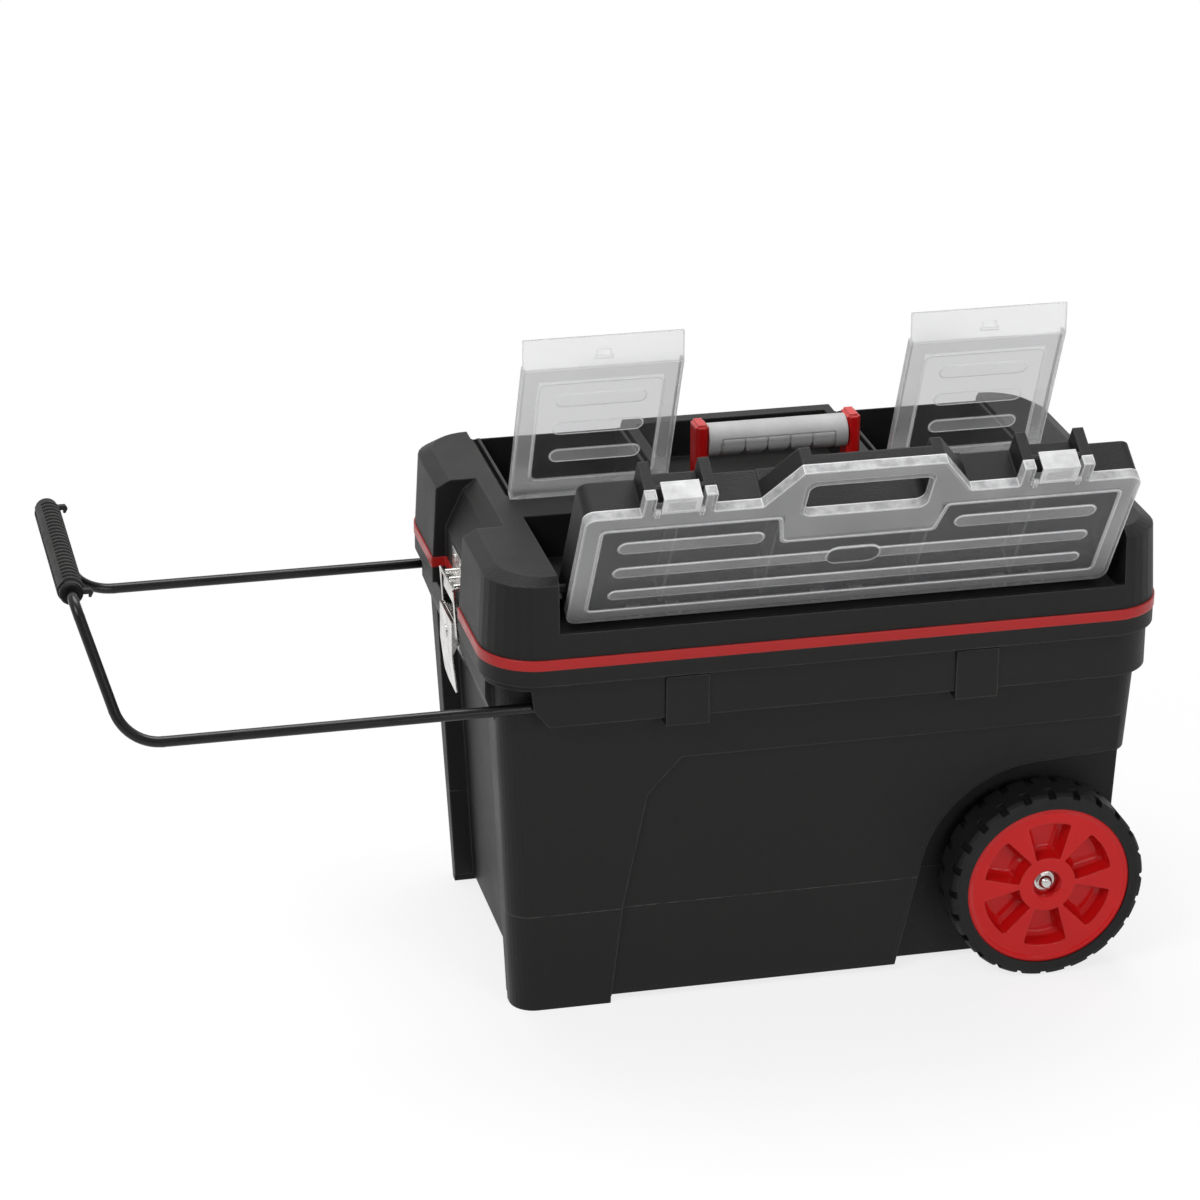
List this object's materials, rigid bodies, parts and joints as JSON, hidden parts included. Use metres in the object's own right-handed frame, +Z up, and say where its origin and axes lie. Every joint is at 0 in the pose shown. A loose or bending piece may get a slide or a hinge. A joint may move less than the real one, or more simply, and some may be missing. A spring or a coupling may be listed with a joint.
{
  "type": "rolling_toolbox",
  "caption": "Rolling plastic toolbox with a hinged lid, two lidded bins, a tilting organizer case, a carry handle, a sliding pull handle and spoked wheels.",
  "frame": {"origin": "on the floor plane, under the middle of the box's rim", "axes": "+X runs along the box from the pull handle to the wheels, +Y from the organizer side to the back, +Z up"},
  "size_m": [0.9715, 0.4607, 0.5977],
  "materials": {
    "black_plastic": "moulded, fine leather grain",
    "red_plastic": "moulded, half gloss",
    "clear_plastic": "clear, slightly frosted",
    "grey_grip": "soft touch, matte",
    "black_rubber": "ribbed, matte",
    "tyre_rubber": "hard rubber, matte",
    "black_painted_steel": "gloss black coat",
    "bright_steel": "zinc plated"
  },
  "bodies": {
    "tub": {"tub": "black_plastic", "rod_guide_front_left": "black_plastic", "rod_guide_front_right": "black_plastic", "rod_guide_rear_left": "black_plastic", "rod_guide_rear_right": "black_plastic", "rod_guide_screws": "bright_steel", "axle": "bright_steel", "axle_washers": "bright_steel", "axle_nuts": "bright_steel", "latch_base_plate": "bright_steel", "latch_base_rivets": "bright_steel", "latch_lever_pin": "bright_steel", "lid_hinge_pins": "bright_steel"},
    "lid": {"lid_shell": "black_plastic", "lid_trim_band": "red_plastic", "latch_keeper": "bright_steel", "latch_keeper_rivets": "bright_steel", "bin_cover_hinge_pins": "bright_steel", "carry_handle_pins": "bright_steel", "organizer_pivot_pins": "black_plastic"},
    "pull_handle": {"pull_handle_hoop": "black_painted_steel", "pull_handle_grip": "black_rubber", "rod_end_glides": "black_plastic"},
    "wheel_front": {"wheel_front_rim": "red_plastic", "wheel_front_tyre": "tyre_rubber"},
    "wheel_rear": {"wheel_rear_rim": "red_plastic", "wheel_rear_tyre": "tyre_rubber"},
    "bin_cover_left": {"bin_cover_left": "clear_plastic"},
    "bin_cover_right": {"bin_cover_right": "clear_plastic"},
    "carry_handle": {"carry_handle_frame": "red_plastic", "carry_handle_grip": "grey_grip"},
    "organizer": {"organizer_base": "black_plastic", "organizer_dividers": "clear_plastic", "organizer_hinge_pins": "bright_steel"},
    "organizer_cover": {"organizer_cover": "clear_plastic", "organizer_latch_pins": "bright_steel"},
    "organizer_latch_left": {"organizer_latch_left": "clear_plastic"},
    "organizer_latch_right": {"organizer_latch_right": "clear_plastic"},
    "latch_lever": {"latch_lever": "bright_steel"},
    "latch_bail": {"latch_bail": "bright_steel"}
  },
  "joints": [
    {"name": "lid_hinge", "type": "hinge", "parent": "tub", "child": "lid", "pos_m": [0.3095, 0, 0.332], "axis": [0, 1, 0], "range_deg": [0, 97]},
    {"name": "pull_handle_slide", "type": "slide", "parent": "tub", "child": "pull_handle", "axis": [1, 0, 0], "range_m": [0, 0.285]},
    {"name": "wheel_front_spin", "type": "hinge", "parent": "tub", "child": "wheel_front", "pos_m": [0.208, -0.165, 0.09], "axis": [0, 1, 0], "continuous": true},
    {"name": "wheel_rear_spin", "type": "hinge", "parent": "tub", "child": "wheel_rear", "pos_m": [0.208, 0.165, 0.09], "axis": [0, 1, 0], "continuous": true},
    {"name": "bin_cover_left_hinge", "type": "hinge", "parent": "lid", "child": "bin_cover_left", "pos_m": [-0.1745, 0.008, 0.4276], "axis": [-1, 0, 0], "range_deg": [0, 113.4]},
    {"name": "bin_cover_right_hinge", "type": "hinge", "parent": "lid", "child": "bin_cover_right", "pos_m": [0.1735, 0.008, 0.4276], "axis": [-1, 0, 0], "range_deg": [0, 113.4]},
    {"name": "carry_handle_hinge", "type": "hinge", "parent": "lid", "child": "carry_handle", "pos_m": [0, 0.012, 0.412], "axis": [-1, 0, 0], "range_deg": [0, 90]},
    {"name": "organizer_tilt", "type": "hinge", "parent": "lid", "child": "organizer", "pos_m": [0.01, -0.165, 0.4105], "axis": [-1, 0, 0], "range_deg": [0, 122.4]},
    {"name": "organizer_cover_hinge", "type": "hinge", "parent": "organizer", "child": "organizer_cover", "pos_m": [0.01, -0.15633, 0.38284], "axis": [1, 0, 0], "range_deg": [0, 40]},
    {"name": "organizer_latch_left_flip", "type": "hinge", "parent": "organizer_cover", "child": "organizer_latch_left", "pos_m": [-0.154, -0.24969, 0.50681], "axis": [1, 0, 0], "range_deg": [0, 95]},
    {"name": "organizer_latch_right_flip", "type": "hinge", "parent": "organizer_cover", "child": "organizer_latch_right", "pos_m": [0.174, -0.24969, 0.50681], "axis": [1, 0, 0], "range_deg": [0, 95]},
    {"name": "latch_lever_hinge", "type": "hinge", "parent": "tub", "child": "latch_lever", "pos_m": [-0.3005, 0, 0.326], "axis": [0, 1, 0], "range_deg": [0, 110]},
    {"name": "latch_bail_hinge", "type": "hinge", "parent": "latch_lever", "child": "latch_bail", "pos_m": [-0.3005, 0, 0.314], "axis": [0, 1, 0], "range_deg": [-110, 0]}
  ],
  "couplings": [
    {"joint": "latch_bail_hinge", "follows": "latch_lever_hinge", "ratio": -1}
  ]
}
